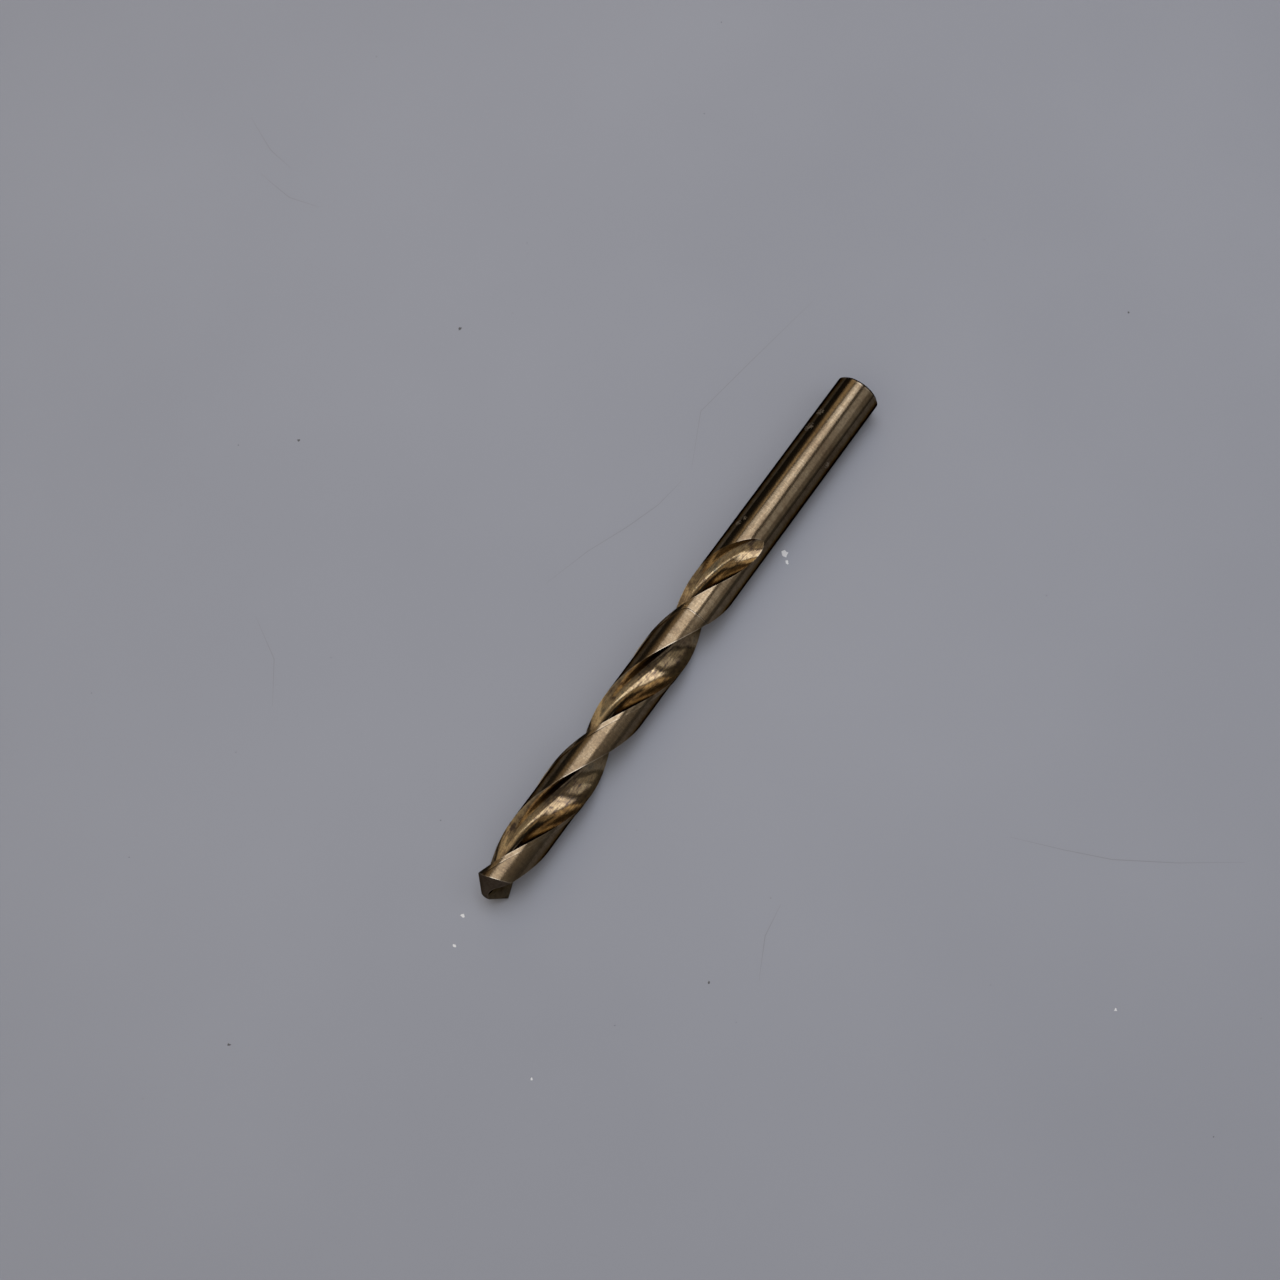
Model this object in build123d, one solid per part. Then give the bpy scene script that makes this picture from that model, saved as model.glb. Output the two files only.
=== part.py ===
"""Jobber-length twist drill, ground from one bar of high-speed steel.

The drill is modelled on its own axis, +Z running from the point to the shank, and laid down
at the end: axis along X, point towards -X, resting on Z = 0.
"""
import os
from math import asin, atan2, ceil, cos, degrees, hypot, pi, radians, sin, sqrt, tan

from build123d import *

# ---- Driving dimensions: millimetres, and degrees where the name says so ----
drill_diameter = 10.0
overall_length = 133.0
shank_chamfer = 0.5

point_angle_deg = 118.0          # included angle of the two lips
lip_relief_deg = 4.0             # slope of the flank where it leaves the lip
flank_cone_angle_deg = 40.0      # half angle of the cone that each flank is ground on
flank_apex_distance = 2.5        # from the web to that cone's apex, along the lip's line

flute_lead = 65.0                # axial length of one full turn, right-hand
flute_full_depth_length = 80.0   # from the point to where the grinding wheel starts to lift
flute_wheel_radius = 25.0        # radius of the wheel, which the run-out shows
run_out_lean_deg = 30.0          # the wheel lifts this far off square to the web, lip side
web_at_point = 1.4
web_growth_per_mm = 0.016
web_arc_radius = 2.2             # hollow beside the web
web_arc_deg = 70.0
land_at_point_deg = 69.0
land_growth_deg_per_mm = 0.21

margin_width = 0.95
body_clearance_depth = 0.2
body_clearance_length = 70.7     # from the point to where the lands are full diameter again
body_clearance_end_radius = 1.2  # rounds the clearance's end into the margin

resting_roll_deg = -36.0         # how far the drill has turned about its axis as it lies

# ---- Sizes that follow ----
radius = drill_diameter / 2
half_point = radians(point_angle_deg / 2)
twist_per_mm = 2 * pi / flute_lead
helix_angle = atan2(pi * drill_diameter, flute_lead)
overcut = 0.12 * radius          # how far each cutter reaches outside the bar
section_spacing = flute_lead / 20
half_turn = Rot(0, 0, 180)


def polar(distance, angle):
    """Point of the cross-section at this distance from the axis, angle in radians."""
    return Vector(distance * cos(angle), distance * sin(angle))


def half_web(z):
    """Half the web's thickness: the web thickens from the point to the flutes' end."""
    return (web_at_point + web_growth_per_mm * z) / 2


def lip_bend(distance, z):
    """How far the rake face has turned at this distance from the axis.

    The lip is straight although it climbs the conical point, so the face that ends in it
    turns back, with the flute's twist, by as much as the cone rises on the way out.
    """
    return twist_per_mm * (distance - half_web(z)) / tan(half_point)


def leading_edge_angle(z):
    """Where the sharp edge of the first land stands at height z, flute twist left out."""
    return -asin(half_web(z) / radius) - lip_bend(radius, z)


def land_angle(z):
    """Width of a land, seen from the axis."""
    return radians(land_at_point_deg + land_growth_deg_per_mm * z)


def wheel_lift(z):
    """How far the grinding wheel has risen out of the flute at height z."""
    travel = max(0.0, z - flute_full_depth_length) / cos(helix_angle)
    return flute_wheel_radius - sqrt(flute_wheel_radius ** 2 - travel ** 2)


def twisted(section, z):
    """Lift a cross-section to height z and turn it with the flutes."""
    return Pos(0, 0, z) * Rot(0, 0, degrees(twist_per_mm * z)) * section


def heights_between(start, end):
    """Evenly spaced heights, no further apart than the section spacing."""
    steps = ceil((end - start) / section_spacing)
    return [start + (end - start) * step / steps for step in range(steps + 1)]


def flute_profile(z):
    """One flute's outline at height z, surface to surface: rake face, hollow, heel side."""
    web_side = half_web(z)
    lip_length = sqrt(radius ** 2 - web_side ** 2)
    rake_points = []
    for share in (0, 0.2, 0.4, 0.6, 0.8, 1):
        along_lip = lip_length * share
        distance = hypot(along_lip, web_side)
        angle = atan2(-web_side, along_lip) - lip_bend(distance, z)
        rake_points.append(polar(distance, angle))
    rake = Spline(*rake_points)
    hollow = JernArc(start=rake @ 0, tangent=(-1, 0), radius=web_arc_radius, arc_size=web_arc_deg)
    heel = polar(radius, leading_edge_angle(z) + land_angle(z) - pi)
    heel_side = TangentArc(hollow @ 1, heel, tangent=hollow % 1)
    return rake, hollow, heel_side


def body_section(z):
    """Cross-section of the fluted steel at height z: two lands joined by the web."""
    start_angle = leading_edge_angle(z)
    end_angle = start_angle + land_angle(z)
    land = ThreePointArc(
        polar(radius, start_angle),
        polar(radius, (start_angle + end_angle) / 2),
        polar(radius, end_angle),
    )
    half = [land, *flute_profile(z)]
    return twisted(make_face(half + [half_turn * edge for edge in half]), z)


def wheel_section(z):
    """What the grinding wheel takes at height z: the flute's outline closed outside the bar."""
    rake, hollow, heel_side = flute_profile(z)
    rake_exit = Line(rake @ 1 + (rake % 1) * overcut, rake @ 1)
    heel_exit = Line(heel_side @ 1, heel_side @ 1 + (heel_side % 1) * overcut)
    opening_middle = leading_edge_angle(z) + (land_angle(z) - pi) / 2
    rim = ThreePointArc(heel_exit @ 1, polar(radius + overcut, opening_middle), rake_exit @ 0)
    outline = make_face([rake_exit, rake, hollow, heel_side, heel_exit, rim])
    lift_direction = radians(run_out_lean_deg - 90)
    return twisted(Pos(*polar(wheel_lift(z), lift_direction)) * outline, z)


def run_out_cutter():
    """The wheel's rise out of the steel, from just below full depth to clear of the bar."""
    wheel_exit = sqrt(flute_wheel_radius ** 2 - (flute_wheel_radius - radius) ** 2) * cos(helix_angle)
    start = flute_full_depth_length
    heights = [start - 0.6 * section_spacing, start - 0.3 * section_spacing]
    heights += [start + wheel_exit * step / 10 for step in range(11)]
    return loft([wheel_section(z) for z in heights])


def clearance_section(z, setback):
    """Slice over the land at height z that starts this far behind the margin."""
    inner = radius - body_clearance_depth - overcut
    outer = radius + overcut
    margin_end = leading_edge_angle(z) + margin_width / radius
    start_angle = margin_end + setback / radius
    end_angle = margin_end + land_angle(z)
    middle_angle = (start_angle + end_angle) / 2
    inside = ThreePointArc(polar(inner, start_angle), polar(inner, middle_angle), polar(inner, end_angle))
    rim = ThreePointArc(polar(outer, end_angle), polar(outer, middle_angle), polar(outer, start_angle))
    return twisted(make_face([inside, Line(inside @ 1, rim @ 0), rim, Line(rim @ 1, inside @ 0)]), z)


def clearance_cutters(end_height):
    """Body clearance of one land: the long grind, and its end rounding off the margin.

    Both stop at the cylinder that the cleared land is ground to.
    """
    rounding = body_clearance_end_radius
    straight_end = end_height - rounding
    straight = loft([clearance_section(z, 0) for z in heights_between(-radius / 2, straight_end)])
    end_sections = []
    for turn_deg in (0, 15, 30, 45, 60, 75, 90):
        rise = rounding * sin(radians(turn_deg))
        setback = rounding * (1 - cos(radians(turn_deg)))
        end_sections.append(clearance_section(straight_end + rise, setback))
    cleared_land = Pos(0, 0, -radius) * Cylinder(
        radius - body_clearance_depth, end_height + 2 * radius, align=(Align.CENTER, Align.CENTER, Align.MIN)
    )
    return straight - cleared_land, loft(end_sections) - cleared_land


def flank_cone():
    """Apex and axis of the cone that the first flank is ground on, the lip lying in its side."""
    lip_direction = Vector(sin(half_point), 0, cos(half_point))
    outward = Vector(cos(half_point), 0, -sin(half_point))
    relief = radians(lip_relief_deg)
    behind_lip = Vector(0, cos(relief), 0) - outward * sin(relief)
    flank_normal = behind_lip.cross(lip_direction)
    half_angle = radians(flank_cone_angle_deg)
    axis = lip_direction * cos(half_angle) - flank_normal * sin(half_angle)
    apex = Vector(0, -half_web(0), 0) - lip_direction * flank_apex_distance
    return apex, axis


def chisel_height():
    """Height of the chisel edge's middle, where the flank cone meets the drill's axis."""
    apex, axis = flank_cone()
    cos_squared = cos(radians(flank_cone_angle_deg)) ** 2
    square_term = axis.Z ** 2 - cos_squared
    half_linear_term = cos_squared * apex.Z - axis.dot(apex) * axis.Z
    constant_term = axis.dot(apex) ** 2 - cos_squared * apex.dot(apex)
    spread = sqrt(half_linear_term ** 2 - square_term * constant_term)
    return min((-half_linear_term + spread) / square_term, (-half_linear_term - spread) / square_term, key=abs)


def flank_cutter():
    """What grinding one flank takes off the end of the bar: its own land's half only."""
    apex, axis = flank_cone()
    cone_height = 6 * drill_diameter
    cone_base = cone_height * tan(radians(flank_cone_angle_deg))
    cone = Solid.make_cone(0, cone_base, cone_height, Plane(origin=apex, z_dir=axis))
    stock_height = 4 * radius
    stock = Pos(0, 0, -radius) * Cylinder(
        radius + overcut, stock_height, align=(Align.CENTER, Align.CENTER, Align.MIN)
    )
    block = 3 * drill_diameter
    land_side = Pos(block / 2 - web_at_point, 0, 0) * Box(block, block, block)
    land_middle = leading_edge_angle(0) + land_angle(0) / 2
    return (stock & (Rot(0, 0, degrees(land_middle)) * land_side)) - cone


def twist_drill(tip):
    """The whole drill on its own axis, the chisel edge's middle at height tip."""
    fluted = loft([body_section(z) for z in heights_between(-radius / 2, flute_full_depth_length)])
    plain_length = tip + overall_length - flute_full_depth_length
    shank = Pos(0, 0, flute_full_depth_length) * Cylinder(
        radius, plain_length, align=(Align.CENTER, Align.CENTER, Align.MIN)
    )
    shank = chamfer(shank.edges().sort_by(Axis.Z)[-1], shank_chamfer)
    run_out = run_out_cutter()
    drill = fluted + (shank - run_out - half_turn * run_out)
    for cutter in (*clearance_cutters(tip + body_clearance_length), flank_cutter()):
        drill = drill - cutter - half_turn * cutter
    return drill


tip = chisel_height()
drill = twist_drill(tip)
lying = Plane(origin=(0, 0, 0), x_dir=(0, 0, 1), z_dir=(1, 0, 0)).location
placed = Pos(-overall_length / 2 - tip, 0, radius) * lying * Rot(0, 0, resting_roll_deg) * drill

os.makedirs("parts", exist_ok=True)
export_step(placed, "parts/twist_drill.step")
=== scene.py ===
import math
import random

import bmesh
import bpy
from mathutils import Matrix, Vector
from mathutils.geometry import delaunay_2d_cdt


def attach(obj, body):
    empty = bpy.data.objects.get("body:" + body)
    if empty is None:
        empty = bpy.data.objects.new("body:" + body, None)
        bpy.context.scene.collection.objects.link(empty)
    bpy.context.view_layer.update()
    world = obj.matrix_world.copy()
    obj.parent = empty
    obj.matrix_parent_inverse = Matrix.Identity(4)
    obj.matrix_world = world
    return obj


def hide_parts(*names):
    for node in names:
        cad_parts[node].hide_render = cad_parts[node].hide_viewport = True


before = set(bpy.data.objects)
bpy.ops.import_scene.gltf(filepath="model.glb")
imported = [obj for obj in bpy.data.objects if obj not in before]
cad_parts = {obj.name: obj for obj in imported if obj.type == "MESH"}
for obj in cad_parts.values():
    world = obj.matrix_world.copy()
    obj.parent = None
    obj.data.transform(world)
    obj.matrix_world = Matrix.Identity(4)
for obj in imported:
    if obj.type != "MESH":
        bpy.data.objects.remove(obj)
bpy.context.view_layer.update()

# --- The ground steel ------------------------------------------------------------------------
# One bar of high-speed cobalt steel. A shaped wheel grinds the two helical flutes and lifts out
# of them near the shank; the lands are cleared behind narrow margins, and each lip's flank is
# ground on a cone. The wheel-true skin below follows the same ground form, ring by ring, with
# heights from the point along the drill and all sizes in millimetres.
MM = 0.001
LENGTH = 133.0
RADIUS = 5.0
SHANK_CHAMFER = 0.5
FLUTE_LEAD = 65.0
FULL_DEPTH_END = 80.0
WEB_AT_POINT = 1.4
WEB_GROWTH = 0.016
HOLLOW_RADIUS = 2.2
HOLLOW_ARC_DEG = 70
LAND_AT_POINT_DEG = 69
LAND_GROWTH_DEG = 0.21
WHEEL_RADIUS = 25.0
WHEEL_LIFT_ANGLE = math.radians(-60)
MARGIN_WIDTH = 0.95
CLEARANCE_DEPTH = 0.2
CLEARANCE_LENGTH = 70.7
CLEARANCE_ROUNDING = 1.2
HALF_POINT = math.radians(59)
LIP_RELIEF = math.radians(4)
FLANK_CONE_ANGLE = math.radians(40)
FLANK_APEX_DISTANCE = 2.5
RESTING_ROLL = math.radians(-36)
TWIST = 2 * math.pi / FLUTE_LEAD
HELIX_ANGLE = math.atan(2 * math.pi * RADIUS / FLUTE_LEAD)


def polar(distance, angle):
    return Vector((distance * math.cos(angle), distance * math.sin(angle)))


def half_web(z):
    return (WEB_AT_POINT + WEB_GROWTH * z) / 2


def land_width_angle(z):
    return math.radians(LAND_AT_POINT_DEG + LAND_GROWTH_DEG * z)


def rake_point(along_lip, z):
    """A point of the rake face, bent back so that the lip comes out straight on the point."""
    distance = math.hypot(along_lip, half_web(z))
    bend = TWIST * (distance - half_web(z)) / math.tan(HALF_POINT)
    return polar(distance, math.atan2(-half_web(z), along_lip) - bend)


def tangent_arc(start, direction, end, count):
    """Points of the arc that leaves start in this direction and meets end."""
    chord = end - start
    left = Vector((-direction.y, direction.x))
    turn = 2 * math.atan2(chord.dot(left), chord.dot(direction))
    bend_radius = chord.length / (2 * math.sin(turn / 2))
    points = []
    for step in range(1, count + 1):
        angle = turn * step / count
        points.append(start + (direction * math.sin(angle) + left * (1 - math.cos(angle))) * bend_radius)
    return points


def flute_profile(z):
    """The wheel's outline at height z from the heel to the lip, a little past the bar at both ends."""
    lip_length = math.sqrt(RADIUS ** 2 - half_web(z) ** 2)
    lip_angle = math.atan2(rake_point(lip_length, z).y, rake_point(lip_length, z).x)
    rake = [rake_point(lip_length * step / 60, z) for step in range(65)]
    hollow_centre = Vector((0, -half_web(z) - HOLLOW_RADIUS))
    hollow = []
    for turn_deg in range(2, HOLLOW_ARC_DEG + 1, 2):
        hollow.append(hollow_centre + polar(HOLLOW_RADIUS, math.radians(90 + turn_deg)))
    heading = -polar(1, math.radians(HOLLOW_ARC_DEG))
    heel = polar(RADIUS, lip_angle + land_width_angle(z) - math.pi)
    heel_side = tangent_arc(hollow[-1], heading, heel, 36)
    heel_side.append(heel_side[-1] * 2 - heel_side[-6])
    return heel_side[::-1] + hollow[::-1] + rake


def inside_bar(profile, heel_radius):
    """The part of an outline that lies in the bar, ending exactly on its surface."""
    middle = min(range(len(profile)), key=lambda index: profile[index].length)
    kept = [profile[middle]]
    for order, limit in ((-1, heel_radius), (1, RADIUS)):
        index = middle
        while True:
            inner, outer = profile[index], profile[index + order]
            if outer.length > limit:
                low, high = 0.0, 1.0
                for _ in range(40):
                    half = (low + high) / 2
                    low, high = (half, high) if inner.lerp(outer, half).length < limit else (low, half)
                edge = inner.lerp(outer, low)
                kept = [edge] + kept if order < 0 else kept + [edge]
                break
            kept = [outer] + kept if order < 0 else kept + [outer]
            index += order
    return kept


def evenly(points, count):
    """The same line with this many points, evenly spaced."""
    lengths = [0.0]
    for first, second in zip(points, points[1:]):
        lengths.append(lengths[-1] + (second - first).length)
    result, index = [], 0
    for step in range(count):
        wanted = lengths[-1] * step / (count - 1)
        while index < len(points) - 2 and lengths[index + 1] < wanted:
            index += 1
        span = lengths[index + 1] - lengths[index] or 1.0
        result.append(points[index].lerp(points[index + 1], min(1.0, (wanted - lengths[index]) / span)))
    return result


def flank_cone_height(x, y):
    """Height of the first flank's grinding cone over a point of the cross-section."""
    lip_direction = Vector((math.sin(HALF_POINT), 0, math.cos(HALF_POINT)))
    outward = Vector((math.cos(HALF_POINT), 0, -math.sin(HALF_POINT)))
    behind_lip = Vector((0, math.cos(LIP_RELIEF), 0)) - outward * math.sin(LIP_RELIEF)
    normal = behind_lip.cross(lip_direction)
    axis = lip_direction * math.cos(FLANK_CONE_ANGLE) - normal * math.sin(FLANK_CONE_ANGLE)
    apex = Vector((0, -half_web(0), 0)) - lip_direction * FLANK_APEX_DISTANCE
    spread = math.cos(FLANK_CONE_ANGLE) ** 2
    foot = Vector((x, y, 0)) - apex
    square_term = axis.z ** 2 - spread
    half_linear_term = axis.dot(foot) * axis.z - spread * foot.z
    constant_term = axis.dot(foot) ** 2 - spread * foot.dot(foot)
    root = math.sqrt(half_linear_term ** 2 - square_term * constant_term)
    return (-half_linear_term + root) / square_term


def point_height(x, y):
    """Height of the ground point: whichever flank stands higher, each on its own land's side."""
    lip_length = math.sqrt(RADIUS ** 2 - half_web(0) ** 2)
    lip = rake_point(lip_length, 0)
    middle = polar(1.0, math.atan2(lip.y, lip.x) + land_width_angle(0) / 2)
    side = x * middle.x + y * middle.y
    heights = []
    if side > -2 * half_web(0):
        heights.append(flank_cone_height(x, y))
    if side < 2 * half_web(0):
        heights.append(flank_cone_height(-x, -y))
    return max(heights)


CHISEL_HEIGHT = point_height(0, 0)
CLEARANCE_END = CHISEL_HEIGHT + CLEARANCE_LENGTH
MARGIN_POINTS, LAND_POINTS, FLUTE_POINTS = 6, 27, 64
MARGIN_LAST = MARGIN_POINTS - 1
LAND_LAST = MARGIN_POINTS + LAND_POINTS - 1


def lifted_profile(z):
    """The wheel's outline at height z, lifted out of the bar along the run-out."""
    travel = max(0.0, z - FULL_DEPTH_END) / math.cos(HELIX_ANGLE)
    lift = polar(WHEEL_RADIUS - math.sqrt(WHEEL_RADIUS ** 2 - travel ** 2), WHEEL_LIFT_ANGLE)
    return [point + lift for point in flute_profile(z)]


def half_outline(z, cleared):
    """Half of the cross-section at height z: margin, land and the far flute's wall."""
    foot_radius = RADIUS - CLEARANCE_DEPTH if cleared else RADIUS
    flute = evenly(inside_bar(lifted_profile(z), foot_radius), FLUTE_POINTS)
    start = math.atan2(flute[-1].y, flute[-1].x)
    end = math.atan2(-flute[0].y, -flute[0].x)
    past_rounding_start = max(0.0, z - CLEARANCE_END + CLEARANCE_ROUNDING) if cleared else 0.0
    travel = min(past_rounding_start, CLEARANCE_ROUNDING)
    setback = CLEARANCE_ROUNDING - math.sqrt(CLEARANCE_ROUNDING ** 2 - travel ** 2)
    margin_end = start + (MARGIN_WIDTH + setback) / RADIUS
    outline = []
    for step in range(MARGIN_POINTS):
        outline.append(polar(RADIUS, start + (margin_end - start) * step / MARGIN_LAST))
    for step in range(LAND_POINTS):
        share = step / (LAND_POINTS - 1) if cleared else (step + 1) / LAND_POINTS
        outline.append(polar(foot_radius, margin_end + (end - margin_end) * share))
    return outline + [-point for point in flute[1:-1]]


def whole_outline(z, cleared=True):
    """Both halves of the cross-section: the second is the first turned half round."""
    half = half_outline(z, cleared)
    return half + [-point for point in half]


def rotated(x, y, angle):
    return x * math.cos(angle) - y * math.sin(angle), x * math.sin(angle) + y * math.cos(angle)


def on_the_floor(x, y, z, turn):
    """A point of the drill's own frame, turned with the flutes, as the drill lies in metres."""
    across, along = rotated(x, y, turn + RESTING_ROLL)
    return Vector((z - CHISEL_HEIGHT - LENGTH / 2, -along, across + RADIUS)) * MM


# Heights of the rings from the point to the end of the flutes' run-out.
POINT_TOP = 8.0
low, high = FULL_DEPTH_END + 5, FULL_DEPTH_END + 15
for _ in range(40):
    half = (low + high) / 2
    nearest = min(point.length for point in lifted_profile(half))
    low, high = (half, high) if nearest < RADIUS else (low, half)
RUN_OUT_END = low
end_point = min(lifted_profile(RUN_OUT_END), key=lambda point: point.length)
rounding_start = CLEARANCE_END - CLEARANCE_ROUNDING
full_land_start = CLEARANCE_END + 0.03
past_clearance = CLEARANCE_END + 0.02
rings = [(POINT_TOP + (rounding_start - POINT_TOP) * step / 124, True) for step in range(125)]
for turn_deg in range(9, 91, 9):
    rings.append((CLEARANCE_END - CLEARANCE_ROUNDING * (1 - math.sin(math.radians(turn_deg))), True))
rings.append((full_land_start, False))
for step in range(1, 19):
    rings.append((full_land_start + (FULL_DEPTH_END - full_land_start) * step / 18, False))
for step in range(1, 24):
    share = math.sin(math.radians(90 * step / 24))
    rings.append((FULL_DEPTH_END + (RUN_OUT_END - FULL_DEPTH_END) * share, False))

# Each strand of the skin, a column of its net, starts where it meets the ground point.
FINE_STEPS = 80
fine = [whole_outline(POINT_TOP * step / FINE_STEPS) for step in range(FINE_STEPS + 1)]
columns = len(fine[0])
half_columns = columns // 2


def strand_point(column, z):
    """Where a strand passes height z near the point, before it is turned with the flutes."""
    position = min(max(z / POINT_TOP * FINE_STEPS, 0.0), FINE_STEPS - 0.001)
    index = int(position)
    return fine[index][column].lerp(fine[index + 1][column], position - index)


def turned(point, z):
    return rotated(point.x, point.y, TWIST * z)


strand_starts = []
for column in range(columns):
    low, high = 0.0, POINT_TOP
    for _ in range(32):
        half = (low + high) / 2
        x, y = turned(strand_point(column, half), half)
        low, high = (low, half) if half > point_height(x, y) else (half, high)
    strand_starts.append(high)

skin = bmesh.new()
uv_layer = skin.loops.layers.uv.new("ground_mm")
edge_layer = skin.verts.layers.float.new("edge_mm")
FLUTE_WALL, CYLINDER, CLEARED_LAND, POINT, END_FACE = range(5)


def add_vertex(point, z, turn, edge_mm):
    """A corner of the skin, with its distance from the nearest sharp edge."""
    vertex = skin.verts.new(on_the_floor(point.x, point.y, z, turn))
    vertex[edge_layer] = edge_mm
    return vertex


def edge_distances(outline, cleared=True):
    """How far each point of an outline is, along it, from the nearest sharp corner of the lands."""
    lengths = [0.0]
    for index in range(columns):
        lengths.append(lengths[-1] + (outline[(index + 1) % columns] - outline[index]).length)
    sharp = {0, MARGIN_LAST, LAND_LAST} if cleared else {0, LAND_LAST}
    corners = [lengths[start + column] for start in (0, half_columns) for column in sharp] + [lengths[-1]]
    return lengths, [min(abs(length - corner) for corner in corners) for length in lengths[:-1]]


rows, row_lengths = [], []
for step in range(24):
    share = (step / 24) ** 1.3
    heights = [start + (POINT_TOP - start) * share for start in strand_starts]
    outline = [strand_point(column, heights[column]) for column in range(columns)]
    lengths, distances = edge_distances(outline)
    row = []
    for column, (point, z) in enumerate(zip(outline, heights)):
        edge_mm = min(distances[column], z - strand_starts[column])
        row.append(add_vertex(point, z, TWIST * z, edge_mm))
    rows.append(row)
    row_lengths.append((lengths, heights))
for z, cleared in rings:
    outline = whole_outline(z, cleared)
    lengths, distances = edge_distances(outline, cleared)
    row = []
    for column, point in enumerate(outline):
        edge_mm = distances[column]
        # The clearance's end counts as an edge of the cleared lands, so their rubbed colour paints a
        # glint along it.
        if cleared and MARGIN_LAST < column % half_columns < LAND_LAST:
            edge_mm = min(edge_mm, CLEARANCE_END - z)
        row.append(add_vertex(point, z, TWIST * z, edge_mm))
    rows.append(row)
    row_lengths.append((lengths, [z] * columns))


def add_face(vertices, uvs, material):
    """A smooth face whose ground_mm map holds millimetres over 100."""
    face = skin.faces.new(vertices)
    face.smooth = True
    face.material_index = material
    for loop, uv in zip(face.loops, uvs):
        loop[uv_layer].uv = (uv[0] / 100, uv[1] / 100)


def column_material(column, z):
    if column % half_columns >= LAND_LAST:
        return FLUTE_WALL
    return CLEARED_LAND if column % half_columns >= MARGIN_LAST and z < CLEARANCE_END else CYLINDER


for lower in range(len(rows) - 1):
    (low_lengths, low_heights), (high_lengths, high_heights) = row_lengths[lower], row_lengths[lower + 1]
    for column in range(columns):
        after = (column + 1) % columns
        low_row, high_row = rows[lower], rows[lower + 1]
        corners = (low_row[column], low_row[after], high_row[after], high_row[column])
        uvs = (
            (low_lengths[column], low_heights[column]),
            (low_lengths[column + 1], low_heights[after]),
            (high_lengths[column + 1], high_heights[after]),
            (high_lengths[column], high_heights[column]),
        )
        add_face(corners, uvs, column_material(column, low_heights[column]))
for lower in range(len(rows) - 1):
    for start in (0, half_columns):
        for column in (0, MARGIN_LAST, MARGIN_POINTS, LAND_LAST):
            at_clearance = column in (MARGIN_LAST, MARGIN_POINTS)
            if not at_clearance or row_lengths[lower + 1][1][0] < past_clearance:
                corners = (rows[lower][start + column], rows[lower + 1][start + column])
                skin.edges.get(corners).smooth = False

# The wall that ends the body clearance, a step square to the axis.
wall_top = next(index for index, (_, heights) in enumerate(row_lengths) if heights[0] > past_clearance)
for row in (rows[wall_top - 1], rows[wall_top]):
    for start in (0, half_columns):
        for column in range(MARGIN_LAST, LAND_LAST):
            skin.edges.get((row[start + column], row[start + column + 1])).smooth = False

# The shank: the flutes' columns close at the run-out's end, the lands' run on as a plain cylinder.
shank_columns = [start + column for start in (0, half_columns) for column in range(LAND_LAST)]
end_angle = math.atan2(end_point.y, end_point.x)
shank_turn = TWIST * RUN_OUT_END
last_row = rows[-1]
shank_row = {}
shank_angles = {}
margin_share = MARGIN_WIDTH / RADIUS / math.pi
for start in (0, half_columns):
    for column in range(LAND_LAST):
        if column < MARGIN_POINTS:
            share = margin_share * column / MARGIN_LAST
        else:
            share = margin_share + (1 - margin_share) * (column - MARGIN_LAST) / LAND_POINTS
        angle = end_angle + math.pi * share + (math.pi if start else 0.0)
        shank_angles[start + column] = angle
        shank_row[start + column] = add_vertex(polar(RADIUS, angle), RUN_OUT_END, shank_turn, 1.0)
low_lengths, low_heights = row_lengths[-1]
for start in (0, half_columns):
    next_start = half_columns - start
    for column in range(LAND_LAST):
        left, right = start + column, start + column + 1
        upper_right = shank_row[right] if right in shank_row else shank_row[next_start]
        uvs = ((low_lengths[left], low_heights[left]), (low_lengths[right], low_heights[left]),
               (low_lengths[right], RUN_OUT_END), (low_lengths[left], RUN_OUT_END))
        add_face((last_row[left], last_row[right], upper_right, shank_row[left]), uvs, CYLINDER)
    for column in range(LAND_LAST, half_columns):
        left, right = start + column, start + column + 1
        uvs = ((low_lengths[left], low_heights[0]), (low_lengths[right], low_heights[0]),
               (low_lengths[left], RUN_OUT_END))
        add_face((last_row[left], last_row[right % columns], shank_row[next_start]), uvs, FLUTE_WALL)
    for column in (0, LAND_LAST):
        top = shank_row[start] if column == 0 else shank_row[next_start]
        skin.edges.get((last_row[start + column], top)).smooth = False

shank_end = CHISEL_HEIGHT + LENGTH
chamfer_start = shank_end - SHANK_CHAMFER
face_radius = RADIUS - SHANK_CHAMFER
CHAMFER_ROUNDING = 0.03
shank_rings = [(RUN_OUT_END + (chamfer_start - RUN_OUT_END) * step / 20, RADIUS) for step in range(1, 21)]
shank_rings += [(shank_end - 2 * CHAMFER_ROUNDING, face_radius + CHAMFER_ROUNDING),
                (shank_end, face_radius - CHAMFER_ROUNDING),
                (shank_end, face_radius - 1.4), (shank_end, 1.4)]
below = [shank_row[column] for column in shank_columns]
below_height = RUN_OUT_END
column_step = shank_angles[shank_columns[1]] - shank_angles[shank_columns[0]]
for z, ring_radius in shank_rings:
    from_edge = min(1.0, max(0.0, chamfer_start - z) + max(0.0, face_radius - ring_radius))
    above = []
    for column in shank_columns:
        above.append(add_vertex(polar(ring_radius, shank_angles[column]), z, shank_turn, from_edge))
    for index in range(len(above)):
        after = (index + 1) % len(above)
        around = (shank_angles[shank_columns[index]] - end_angle) * RADIUS
        around_after = around + column_step * RADIUS
        if after:
            around_after = (shank_angles[shank_columns[after]] - end_angle) * RADIUS
        uvs = ((around, below_height), (around_after, below_height), (around_after, z), (around, z))
        material = END_FACE if ring_radius < face_radius - 0.1 else CYLINDER
        add_face((below[index], below[after], above[after], above[index]), uvs, material)
        if ring_radius > RADIUS - 0.001 and z > chamfer_start - 0.001:
            skin.edges.get((above[index], above[after])).smooth = False
    below, below_height = above, z
add_face(below, [(vertex.co.y / MM, vertex.co.z / MM) for vertex in below], END_FACE)

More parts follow.
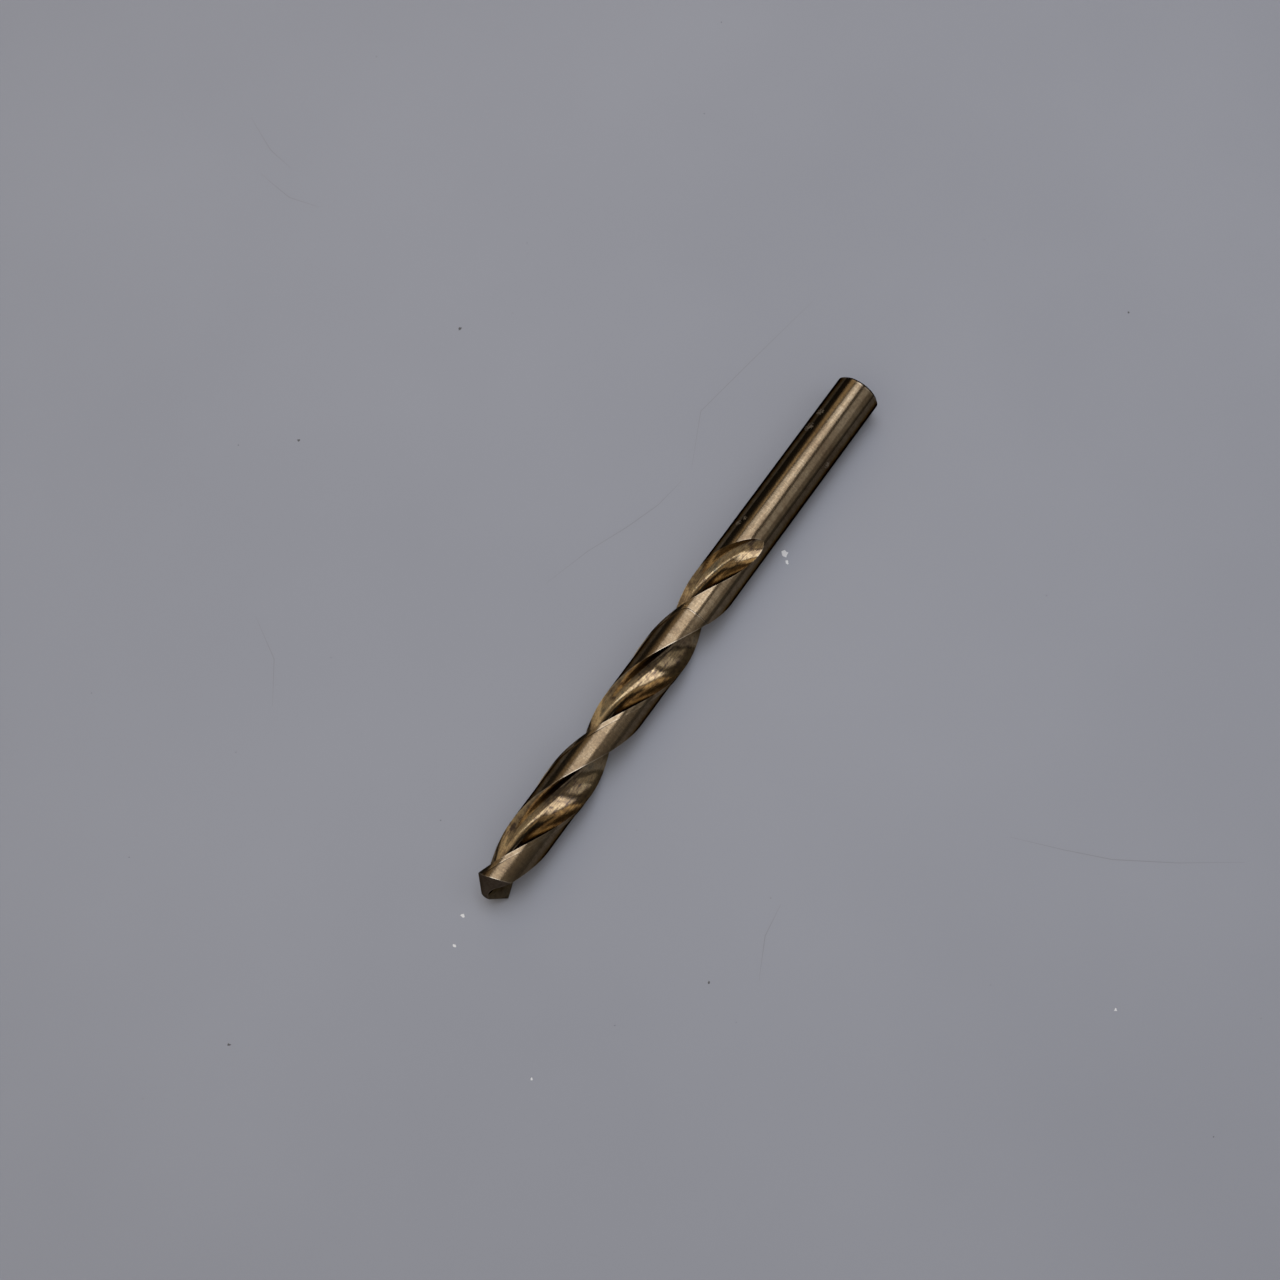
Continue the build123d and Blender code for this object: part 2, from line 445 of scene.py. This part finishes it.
# The two flanks, meshed over the point as one net with the chisel edge as a fixed line in it.
boundary = []
for column in range(columns):
    z = strand_starts[column]
    boundary.append(Vector(turned(strand_point(column, z), z)))


def chisel_angle(distance):
    """Direction of the chisel edge at this distance from the axis, where both flanks are level."""
    low, high = math.radians(-85), math.radians(-5)
    for _ in range(30):
        half = (low + high) / 2
        x, y = distance * math.cos(half), distance * math.sin(half)
        higher = flank_cone_height(x, y) < flank_cone_height(-x, -y)
        low, high = (half, high) if higher else (low, half)
    return low


NET_PITCH = 0.25
chisel_corner = min(range(half_columns + LAND_LAST + 1, columns), key=lambda column: abs(
    math.atan2(boundary[column].y, boundary[column].x) - chisel_angle(boundary[column].length)))
chisel_length = boundary[chisel_corner].length
chisel = []
for share in (0.8, 0.6, 0.4, 0.2):
    chisel.append(polar(chisel_length * share, chisel_angle(chisel_length * share)))
net = [point.copy() for point in boundary]
chisel_line = [chisel_corner]
for point in chisel + [Vector((0, 0))] + [-point for point in reversed(chisel)]:
    chisel_line.append(len(net))
    net.append(point)
chisel_line.append((chisel_corner + half_columns) % columns)


def in_outline(point):
    """Whether a place of the point's net lies inside the flanks' outline and clear of it."""
    inside = False
    for index in range(columns):
        first, second = boundary[index], boundary[(index + 1) % columns]
        if (point - first).length < 0.6 * NET_PITCH:
            return False
        if (first.y > point.y) != (second.y > point.y):
            if point.x < first.x + (point.y - first.y) * (second.x - first.x) / (second.y - first.y):
                inside = not inside
    return inside


for row_index in range(-24, 25):
    for column_index in range(-21, 22):
        across = (column_index + 0.5 * (row_index % 2)) * NET_PITCH
        point = Vector((across, row_index * NET_PITCH * 0.866))
        near_chisel = min((point - net[index]).length for index in chisel_line) < 0.7 * NET_PITCH
        if point.length < RADIUS and not near_chisel and in_outline(point):
            net.append(point)
net_edges = [(index, (index + 1) % columns) for index in range(columns)]
net_edges += list(zip(chisel_line, chisel_line[1:]))
net_points, _, net_faces, sources, _, _ = delaunay_2d_cdt(net, net_edges, [], 1, 1e-7)
net_vertices = []
for point, source in zip(net_points, sources):
    edge_source = [index for index in source if index < columns]
    if edge_source:
        net_vertices.append(rows[0][edge_source[0]])
    else:
        edge_mm = min(1.0, min((point - corner).length for corner in boundary))
        net_vertices.append(add_vertex(point, point_height(point.x, point.y), 0.0, edge_mm))
for triangle in net_faces:
    add_face([net_vertices[index] for index in reversed(triangle)],
             [(net_points[index].x, net_points[index].y) for index in reversed(triangle)], POINT)
for index in range(columns):
    skin.edges.get((rows[0][index], rows[0][(index + 1) % columns])).smooth = False
net_index = {source: index for index, group in enumerate(sources) for source in group}
for first, second in zip(chisel_line, chisel_line[1:]):
    edge = skin.edges.get((net_vertices[net_index[first]], net_vertices[net_index[second]]))
    if edge:
        edge.smooth = False

bmesh.ops.recalc_face_normals(skin, faces=skin.faces)
skin_mesh = bpy.data.meshes.new("ground_drill")
skin.to_mesh(skin_mesh)
skin.free()
drill = bpy.data.objects.new("ground_drill", skin_mesh)
bpy.context.scene.collection.objects.link(drill)
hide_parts("twist_drill")
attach(drill, "root")

# --- The steel's surface ---------------------------------------------------------------------
# High-speed cobalt steel, ground bright and then tempered again in steam and air, which leaves
# a thin straw to bronze oxide. It follows the grinding lines and is rubbed thinner on the edges.
# Some tones are painted light: painted shade beside the point, a painted highlight on the
# margins and painted glints along the edges.


def srgb(code):
    """A hex colour as the linear red, green, blue and alpha that the shaders take."""
    channels = [int(code[start:start + 2], 16) / 255 for start in (1, 3, 5)]
    return tuple(c / 12.92 if c <= 0.04045 else ((c + 0.055) / 1.055) ** 2.4 for c in channels) + (1.0,)


def add_node(material, kind, inputs=None, **settings):
    """Adds a shader node, sets it up and links or fills its inputs."""
    node = material.node_tree.nodes.new(kind)
    for name, value in settings.items():
        setattr(node, name, value)
    for name, value in (inputs or {}).items():
        if isinstance(value, bpy.types.NodeSocket):
            material.node_tree.links.new(value, node.inputs[name])
        else:
            node.inputs[name].default_value = value
    return node


def new_material(name):
    material = bpy.data.materials.new(name)
    material.use_nodes = True
    material.node_tree.nodes.clear()
    return material


def ground_oxide(name, tints, rubbed_and_glint_colour, lines_per_100_mm, line_depth, roughness, speckle, scuffs=(),
                 painted_light_change=None):
    """Oxide-tinted steel whose grinding lines run across the larger number of lines.

    Specks darken and lighten the tint by the share that speckle gives. Each scuff is a place
    where handling has rubbed the oxide: its middle and radius in metres. A painted light change
    gives where along the drill it ends, where the plain tint starts, and how bright the first part
    is painted: below 1 it is painted shade, above 1 a painted highlight.
    """
    material = new_material(name)
    ground = add_node(material, "ShaderNodeUVMap", uv_map="ground_mm")
    lines_at = add_node(material, "ShaderNodeMapping", {
        "Vector": ground.outputs["UV"], "Scale": lines_per_100_mm})
    lines = add_node(material, "ShaderNodeTexNoise", {
        "Vector": lines_at.outputs["Vector"], "Scale": 1.0, "Detail": 5.0, "Roughness": 0.62})
    # Oxide patches about 9 mm across, a finer mottling of 1.2 mm and specks of 0.35 mm.
    place = add_node(material, "ShaderNodeTexCoord").outputs["Object"]
    patches = add_node(material, "ShaderNodeTexNoise", {
        "Vector": place, "Scale": 1000 / 9, "Detail": 3.0, "Roughness": 0.55})
    mottling = add_node(material, "ShaderNodeTexNoise", {
        "Vector": place, "Scale": 1000 / 1.2, "Detail": 4.0, "Roughness": 0.65})
    specks = add_node(material, "ShaderNodeTexNoise", {
        "Vector": place, "Scale": 1000 / 0.35, "Detail": 2.0, "Roughness": 0.7})
    blend = add_node(material, "ShaderNodeMath", {
        0: patches.outputs["Fac"], 1: mottling.outputs["Fac"]}, operation="ADD")
    blend = add_node(material, "ShaderNodeMath", {
        0: blend.outputs["Value"], 1: lines.outputs["Fac"]}, operation="ADD")
    spread = add_node(material, "ShaderNodeMapRange", {
        "Value": blend.outputs["Value"], "From Min": 1.2, "From Max": 1.8})
    tint = add_node(material, "ShaderNodeValToRGB", {"Fac": spread.outputs["Result"]})
    ramp = tint.color_ramp
    while len(ramp.elements) < len(tints):
        ramp.elements.new(0.5)
    for index, code in enumerate(tints):
        ramp.elements[index].position = index / (len(tints) - 1)
        ramp.elements[index].color = srgb(code)
    # Edges are rubbed towards bare steel over a quarter of a millimetre, which also paints a thin
    # glint along them. The rubbed colour given for the cleared lands is a pale cream, so there the
    # mark is a painted glint along the margins' border and the clearance's end.
    edge = add_node(material, "ShaderNodeAttribute", attribute_name="edge_mm")
    near_edge = add_node(material, "ShaderNodeMapRange", {
        "Value": edge.outputs["Fac"], "From Min": 0.03, "From Max": 0.22, "To Min": 0.9, "To Max": 0.0})
    wear_and_glint = add_node(material, "ShaderNodeMath", {
        0: near_edge.outputs["Result"], 1: mottling.outputs["Fac"]}, operation="MULTIPLY")
    # Even oxide is a little rougher than where it has worn smooth.
    gloss = add_node(material, "ShaderNodeMapRange", {
        "Value": blend.outputs["Value"], "From Min": 1.1, "From Max": 1.9,
        "To Min": roughness * 1.25, "To Max": roughness * 0.8})
    dullness = gloss.outputs["Result"]
    for middle, reach in scuffs:
        away = add_node(material, "ShaderNodeVectorMath", {0: place, 1: middle}, operation="DISTANCE")
        near = add_node(material, "ShaderNodeMapRange", {
            "Value": away.outputs["Value"], "From Min": reach * 0.4, "From Max": reach,
            "To Min": 2.2, "To Max": 0.0})
        broken = add_node(material, "ShaderNodeMapRange", {
            "Value": specks.outputs["Fac"], "From Min": 0.45, "From Max": 0.6})
        rub = add_node(material, "ShaderNodeMath", {
            0: near.outputs["Result"], 1: broken.outputs["Result"]}, operation="MULTIPLY")
        wear_and_glint = add_node(material, "ShaderNodeMath", {
            0: wear_and_glint.outputs["Value"], 1: rub.outputs["Value"]}, operation="ADD", use_clamp=True)
        # A scuff is scratched dull, so it catches the light from every side.
        dullness = add_node(material, "ShaderNodeMath", {
            0: rub.outputs["Value"], 1: 0.4, 2: dullness},
            operation="MULTIPLY_ADD", use_clamp=True).outputs["Value"]
    colour = add_node(material, "ShaderNodeMix", {
        0: wear_and_glint.outputs["Value"], 6: tint.outputs["Color"], 7: srgb(rubbed_and_glint_colour)}, data_type="RGBA")
    speckled = add_node(material, "ShaderNodeMapRange", {
        "Value": specks.outputs["Fac"], "From Min": 0.3, "From Max": 0.7,
        "To Min": 1 - speckle, "To Max": 1 + speckle})
    shaded = add_node(material, "ShaderNodeVectorMath", {
        0: colour.outputs[2], "Scale": speckled.outputs["Result"]}, operation="SCALE")
    # Painted light by place: the colour is scaled darker or brighter along the drill.
    if painted_light_change:
        painted_light_end, plain_start, painted_brightness = painted_light_change
        along = add_node(material, "ShaderNodeSeparateXYZ", {"Vector": place})
        painted_light_scale = add_node(material, "ShaderNodeMapRange", {
            "Value": along.outputs["X"], "From Min": painted_light_end, "From Max": plain_start,
            "To Min": painted_brightness})
        shaded = add_node(material, "ShaderNodeVectorMath", {
            0: shaded.outputs["Vector"], "Scale": painted_light_scale.outputs["Result"]}, operation="SCALE")
    relief = add_node(material, "ShaderNodeMath", {
        0: specks.outputs["Fac"], 1: 0.35, 2: lines.outputs["Fac"]}, operation="MULTIPLY_ADD")
    bump = add_node(material, "ShaderNodeBump", {
        "Height": relief.outputs["Value"], "Strength": line_depth, "Distance": 0.00004})
    # The oxide film soaks up light that grazes it, so the rims of round surfaces go dark.
    steel = add_node(material, "ShaderNodeBsdfPrincipled", {
        "Base Color": shaded.outputs["Vector"], "Metallic": 1.0, "Roughness": dullness,
        "Specular Tint": srgb("#24272D"), "Normal": bump.outputs["Normal"]})
    add_node(material, "ShaderNodeOutputMaterial", {"Surface": steel.outputs["BSDF"]})
    return material


# Lines are drawn about 0.3 mm apart, coarser than the real grit's 0.05 mm, so that they show.
# The flutes carry the wheel's lines along the helix, with oxide pooled in them from straw to
# dark bronze: the eye gets gold and brown streaks that twist with the drill. The first
# millimetres beside the point are painted darker, down to a third: painted shade for the drill's
# own shadow on the bench, which the flute walls there mirror.
flute_oxide = ground_oxide(
    "flute_ground_along_the_helix_bronze_oxide", ["#4E423A", "#7C6A53", "#988567", "#6C6455"], "#A89C8A",
    lines_per_100_mm=(330, 9, 1), line_depth=0.35, roughness=0.14, speckle=0.2,
    painted_light_change=(-0.0625, -0.0595, 0.35))

# Margins and shank are ground round to size: fine rings across the light's long bands, an even
# bronze, and a few dull spots where handling has scuffed the shank. Along the flutes the margins
# and lands are painted 35 per cent brighter than the shank: a painted highlight.
cylinder_oxide = ground_oxide(
    "margins_and_shank_cylinder_ground_bronze_oxide", ["#5F503F", "#6B5D4A", "#746755"], "#8F8475",
    lines_per_100_mm=(7, 330, 1), line_depth=0.25, roughness=0.15, speckle=0.2, scuffs=(
        ((0.0521, 0.0035, 0.0085), 0.0013), ((0.0563, 0.0035, 0.0085), 0.0011),
        ((0.0257, 0.0033, 0.0087), 0.0008), ((0.0272, 0.0028, 0.0091), 0.0006),
        ((0.0475, -0.0043, 0.0075), 0.0009)),
    painted_light_change=(0.014, 0.027, 1.35))

# A coarser wheel clears the lands: the same bronze, but duller than the margins beside it.
# Its pale cream rubbed colour paints a glint along the margins' border and the clearance's end.
cleared_oxide = ground_oxide(
    "cleared_lands_coarse_ground_dull_oxide_painted_edge_glint", ["#645544", "#72624D", "#7D6E5A"], "#CDC2B2",
    lines_per_100_mm=(7, 250, 1), line_depth=0.3, roughness=0.22, speckle=0.2)

# The flanks are ground last on a cup wheel and look flat and dark beside the polished flutes.
flank_oxide = ground_oxide(
    "flanks_cone_ground_dark_oxide", ["#493F35", "#554A3F", "#5F5448"], "#857A6C",
    lines_per_100_mm=(160, 160, 1), line_depth=0.2, roughness=0.25, speckle=0.12)

# The shank's end is faced square and left plain: a dark, even disc inside its chamfer.
end_oxide = ground_oxide(
    "shank_end_face_ground_oxide", ["#493F35", "#554A3F", "#5F5448"], "#857A6C",
    lines_per_100_mm=(160, 160, 1), line_depth=0.2, roughness=0.3, speckle=0.12)
for surface in (flute_oxide, cylinder_oxide, cleared_oxide, flank_oxide, end_oxide):
    drill.data.materials.append(surface)

# --- The bench top ---------------------------------------------------------------------------
# A flat board rolled with pale grey satin paint, which clouds slightly where the roller has
# overlapped, so the floor is plain without looking like paper.
bench_mesh = bpy.data.meshes.new("bench_top")
bench_shape = bmesh.new()
bmesh.ops.create_grid(bench_shape, x_segments=2, y_segments=2, size=2.5)
bench_shape.to_mesh(bench_mesh)
bench_shape.free()
bench = bpy.data.objects.new("bench_top", bench_mesh)
bpy.context.scene.collection.objects.link(bench)
paint = new_material("grey_bench_paint_rolled_satin")
spot = add_node(paint, "ShaderNodeTexCoord")
clouds = add_node(paint, "ShaderNodeTexNoise", {
    "Vector": spot.outputs["Object"], "Scale": 9.0, "Detail": 4.0})
shade = add_node(paint, "ShaderNodeValToRGB", {"Fac": clouds.outputs["Fac"]})
for element, position, code in zip(shade.color_ramp.elements, (0.3, 0.7), ("#969AA7", "#9CA0AD")):
    element.position, element.color = position, srgb(code)
coat = add_node(paint, "ShaderNodeBsdfPrincipled", {
    "Base Color": shade.outputs["Color"], "Roughness": 0.55})
add_node(paint, "ShaderNodeOutputMaterial", {"Surface": coat.outputs["BSDF"]})
bench_mesh.materials.append(paint)

# --- Marks of use on the bench ---------------------------------------------------------------
# Hair-fine scratches in the paint, small chips where the white primer shows and grains of dark
# grit, all lying flat on the board.
SCRATCHED_PAINT, WHITE_PRIMER, DARK_GRIT = range(3)
SCRATCH_WIDTH = 0.16
bench_marks = bmesh.new()
random.seed(7)


def scratch(points):
    """A scratch in the paint through these places, in millimetres, tapering to both ends."""
    previous = None
    for index, (x, y) in enumerate(points):
        share = index / (len(points) - 1)
        half_width = SCRATCH_WIDTH * MM * 0.5 * (0.25 + 0.75 * math.sin(math.pi * share))
        along = Vector(points[min(index + 1, len(points) - 1)]) - Vector(points[max(index - 1, 0)])
        side = Vector((-along.y, along.x)).normalized() * half_width
        pair = [bench_marks.verts.new((x * MM + side.x, y * MM + side.y, 0.00002)),
                bench_marks.verts.new((x * MM - side.x, y * MM - side.y, 0.00002))]
        if previous:
            face = bench_marks.faces.new((previous[0], previous[1], pair[1], pair[0]))
            face.material_index = SCRATCHED_PAINT
        previous = pair


def fleck(x, y, size, material):
    """A ragged little patch this wide, in millimetres."""
    corners = []
    for index in range(9):
        reach = size * MM * 0.5 * random.uniform(0.35, 1.0)
        angle = math.radians(40 * index + random.uniform(-12, 12))
        corners.append(bench_marks.verts.new((
            x * MM + reach * math.cos(angle), y * MM + reach * math.sin(angle), 0.00003)))
    bench_marks.faces.new(corners).material_index = material


for route in (
    [(-6, 30), (5, 27), (14, 23.5), (22, 21), (30, 20)],
    [(33, 20), (45, 26), (60, 24), (81, 21)],
    [(5, -78), (9, -88), (13, -97), (20, -108), (28, -119)],
    [(45, 151), (41, 142), (40, 135)],
    [(35, 140), (34, 131), (36, 124)],
    [(-48, -53), (-40, -49), (-33, -48)],
    [(-60, 60), (-52, 66), (-47, 75)],
):
    scratch(route)
for x, y, size in ((28.4, -7.1, 2.6), (27.2, -8.6, 1.2), (-71.6, 2.2, 1.1), (-77.2, -0.1, 1.0),
                   (-89.1, -27.8, 0.9), (-12, -113, 0.9)):
    fleck(x, y, size, WHITE_PRIMER)
for x, y, size in ((-53.9, -45.2, 0.7), (30.4, 80.3, 1.3), (-10.8, 92.5, 0.9), (119, -37, 0.7),
                   (-118, 24, 0.8)):
    fleck(x, y, size, DARK_GRIT)
for _ in range(60):
    fleck(random.uniform(-150, 150), random.uniform(-150, 170), random.uniform(0.2, 0.45),
          random.choice((SCRATCHED_PAINT, DARK_GRIT)))
marks_mesh = bpy.data.meshes.new("bench_marks")
bench_marks.to_mesh(marks_mesh)
bench_marks.free()
marks = bpy.data.objects.new("bench_marks", marks_mesh)
bpy.context.scene.collection.objects.link(marks)
for name, code in (
    ("scratched_paint", "#90929B"), ("chipped_white_primer", "#E8E9EE"), ("dark_grit", "#5C5C60"),
):
    worn_paint = new_material(name)
    coat = add_node(worn_paint, "ShaderNodeBsdfPrincipled", {"Base Color": srgb(code), "Roughness": 0.7})
    add_node(worn_paint, "ShaderNodeOutputMaterial", {"Surface": coat.outputs["BSDF"]})
    marks_mesh.materials.append(worn_paint)

# --- The light -------------------------------------------------------------------------------
# A large soft box stands over the bench, with a bulb and a tube beside it. Weaker cards around
# them are what the round shank and the flutes mirror as bands. The room beyond is dim.


def soft_light(name, tilt, distance, size, turn, radiance, colour):
    """A soft box that faces the drill, tilted from overhead by these degrees along X and Y."""
    box = bpy.data.lights.new(name, "AREA")
    box.shape = "RECTANGLE"
    box.size, box.size_y = size
    box.energy = radiance * math.pi * size[0] * size[1]
    box.color = colour
    lean, heading = math.radians(math.hypot(*tilt)), math.atan2(tilt[1], tilt[0])
    sideways = math.sin(lean)
    towards = Vector((sideways * math.cos(heading), sideways * math.sin(heading), math.cos(lean)))
    facing = Vector((0, 0, 1)).rotation_difference(towards).to_matrix().to_4x4()
    spin = Matrix.Rotation(math.radians(turn), 4, "Z")
    holder = bpy.data.objects.new(name, box)
    holder.matrix_world = Matrix.Translation(towards * distance) @ facing @ spin
    bpy.context.scene.collection.objects.link(holder)


soft_light("overhead_soft_box", (11, 9.5), 1.2, (0.94, 0.89), 38, 2.35, (0.98, 1.0, 1.06))
soft_light("overhead_bulb", (23, 9), 1.1, (0.26, 0.2), 30, 1.1, (0.98, 1.0, 1.06))
soft_light("overhead_tube", (12, -8), 1.1, (0.2, 0.07), 12, 2.0, (0.98, 1.0, 1.06))
soft_light("low_fill_box", (29, -33), 1.0, (0.56, 0.46), 30, 0.76, (0.98, 1.0, 1.04))
soft_light("low_card", (31, -58), 1.0, (0.64, 0.36), 0, 0.27, (1.0, 0.97, 0.93))
soft_light("left_strip", (-15, -3), 1.0, (0.22, 1.7), 10, 0.28, (1.0, 0.95, 0.86))
soft_light("warm_card", (7, 46), 1.0, (0.5, 0.34), 15, 0.42, (1.0, 0.8, 0.52))
soft_light("warm_side_card", (39, 36), 1.0, (0.42, 0.5), 35, 0.95, (1.0, 0.8, 0.52))
soft_light("left_card", (-31, 33), 1.0, (0.4, 0.9), 0, 0.5, (1.0, 0.88, 0.7))

# The room's walls: dim on the side of -Y, warm in the middle, nearly dark on the side of +Y,
# and lighter towards -X than towards +X.
world = bpy.data.worlds.new("dim_room")
bpy.context.scene.world = world
world.use_nodes = True
world.node_tree.nodes.clear()
direction = add_node(world, "ShaderNodeTexCoord")
split = add_node(world, "ShaderNodeSeparateXYZ", {"Vector": direction.outputs["Generated"]})
across_room = add_node(world, "ShaderNodeMapRange", {
    "Value": split.outputs["Y"], "From Min": -1.0, "From Max": 1.0})
room = add_node(world, "ShaderNodeValToRGB", {"Fac": across_room.outputs["Result"]})
walls = ((0.0, (0.12, 0.12, 0.12)), (0.2, (0.28, 0.26, 0.23)), (0.6, (0.28, 0.25, 0.2)),
         (0.9, (0.05, 0.045, 0.04)), (1.0, (0.03, 0.03, 0.03)))
while len(room.color_ramp.elements) < len(walls):
    room.color_ramp.elements.new(0.5)
for element, (position, radiance) in zip(room.color_ramp.elements, walls):
    element.position, element.color = position, radiance + (1.0,)
left_wall = add_node(world, "ShaderNodeMapRange", {
    "Value": split.outputs["X"], "From Min": -0.8, "From Max": 0.7, "To Min": 2.0, "To Max": 0.3})
sky = add_node(world, "ShaderNodeBackground", {
    "Color": room.outputs["Color"], "Strength": left_wall.outputs["Result"]})
add_node(world, "ShaderNodeOutputWorld", {"Surface": sky.outputs["Background"]})

# --- The camera ------------------------------------------------------------------------------
# A short telephoto stands over the bench and looks down at the drill, turned so that the drill
# crosses the frame from its point, low on the left, to its shank, high on the right.
camera_data = bpy.data.cameras.new("camera")
camera_data.sensor_width = 36.0
camera_data.lens = 50.454
camera_data.clip_start, camera_data.clip_end = 0.01, 10.0
camera = bpy.data.objects.new("camera", camera_data)
camera.matrix_world = Matrix((
    (0.58104482, 0.77981359, -0.23297571, -0.091463),
    (-0.81387156, 0.55672991, -0.16632763, -0.055297),
    (0.0, 0.28625611, 0.95815314, 0.357225),
    (0.0, 0.0, 0.0, 1.0),
))
bpy.context.scene.collection.objects.link(camera)
bpy.context.scene.camera = camera
bpy.context.scene.view_settings.view_transform = "Standard"
